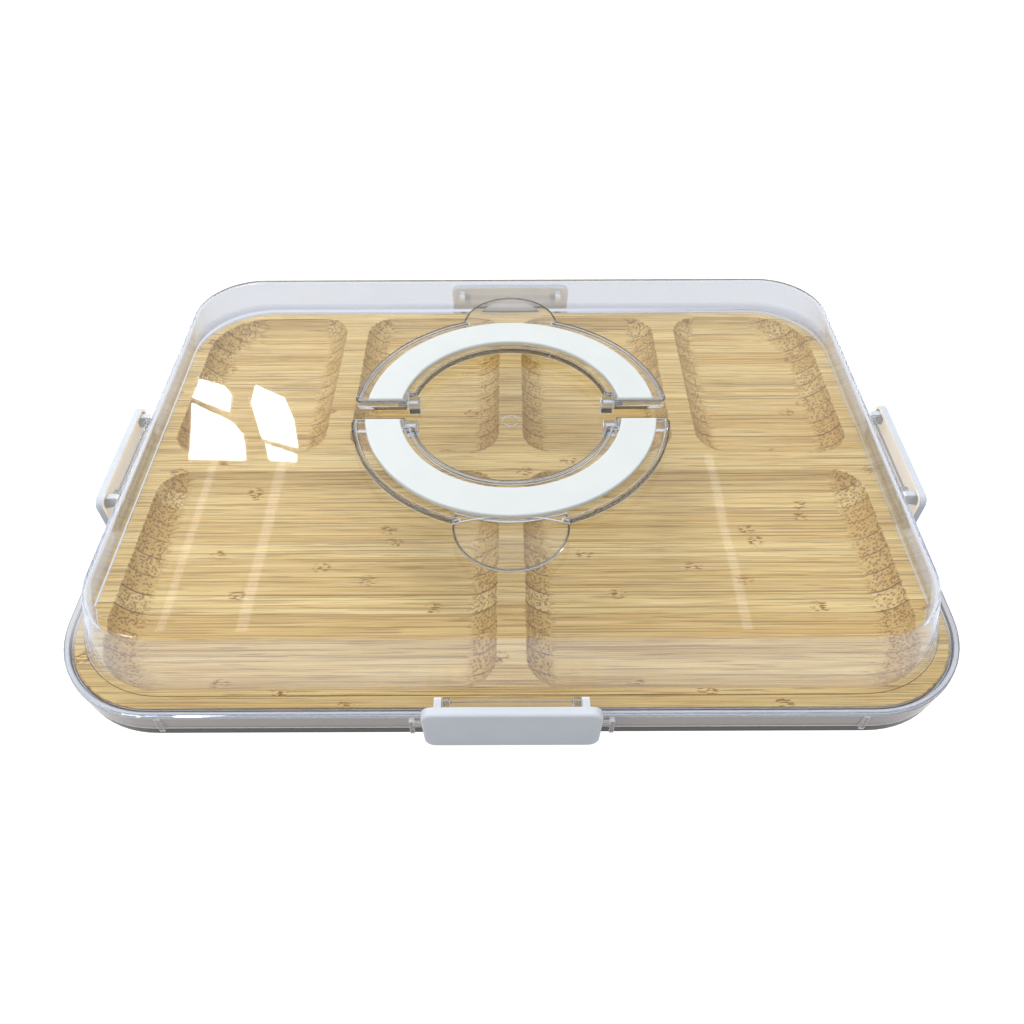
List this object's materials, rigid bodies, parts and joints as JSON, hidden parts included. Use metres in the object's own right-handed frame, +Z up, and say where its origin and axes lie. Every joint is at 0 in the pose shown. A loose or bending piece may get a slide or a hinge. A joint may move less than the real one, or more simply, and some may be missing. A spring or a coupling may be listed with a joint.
{
  "type": "covered serving board",
  "caption": "Flat carry case: a bamboo serving board with routed pockets in a clear tray, under a clear latched lid with a fold-up ring handle.",
  "frame": {"origin": "on the table, under the middle of the case", "axes": "+X along the long side, +Y to the rear long side, +Z up"},
  "size_m": [0.429, 0.322, 0.0594],
  "materials": {
    "clear_plastic": "gloss",
    "white_plastic": "satin",
    "bamboo": "satin",
    "steel": "satin"
  },
  "bodies": {
    "base": {"base_tray": "clear_plastic"},
    "board": {"bamboo_board": "bamboo"},
    "cover": {"lid": "clear_plastic", "latch_rod_front": "clear_plastic", "latch_rod_rear": "clear_plastic", "latch_rod_left": "clear_plastic", "latch_rod_right": "clear_plastic"},
    "front_latch": {"latch_front": "white_plastic"},
    "rear_latch": {"latch_rear": "white_plastic"},
    "left_latch": {"latch_left": "white_plastic"},
    "right_latch": {"latch_right": "white_plastic"},
    "rear_handle": {"handle_frame_rear": "clear_plastic", "handle_grip_rear": "white_plastic", "handle_pins_rear": "steel"},
    "front_handle": {"handle_frame_front": "clear_plastic", "handle_grip_front": "white_plastic", "handle_pins_front": "steel"}
  },
  "joints": [
    {"name": "lid_lift", "type": "slide", "parent": "base", "child": "cover", "axis": [0, 0, 1], "range_m": [0, 0.08]},
    {"name": "board_lift", "type": "slide", "parent": "base", "child": "board", "axis": [0, 0, 1], "range_m": [0, 0.045]},
    {"name": "latch_front_swing", "type": "hinge", "parent": "cover", "child": "front_latch", "pos_m": [0, -0.1525, 0.0245], "axis": [-1, 0, 0], "range_deg": [0, 105]},
    {"name": "latch_rear_swing", "type": "hinge", "parent": "cover", "child": "rear_latch", "pos_m": [0, 0.1525, 0.0245], "axis": [1, 0, 0], "range_deg": [0, 105]},
    {"name": "latch_left_swing", "type": "hinge", "parent": "cover", "child": "left_latch", "pos_m": [-0.206, 0, 0.0245], "axis": [0, 1, 0], "range_deg": [0, 105]},
    {"name": "latch_right_swing", "type": "hinge", "parent": "cover", "child": "right_latch", "pos_m": [0.206, 0, 0.0245], "axis": [0, -1, 0], "range_deg": [0, 105]},
    {"name": "handle_rear_fold", "type": "hinge", "parent": "cover", "child": "rear_handle", "pos_m": [0, 0.0092, 0.0549], "axis": [1, 0, 0], "range_deg": [0, 90]},
    {"name": "handle_front_fold", "type": "hinge", "parent": "cover", "child": "front_handle", "pos_m": [0, -0.0092, 0.0549], "axis": [-1, 0, 0], "range_deg": [0, 90]}
  ],
  "couplings": [
    {"joint": "board_lift", "follows": "lid_lift", "ratio": 0.5}
  ]
}
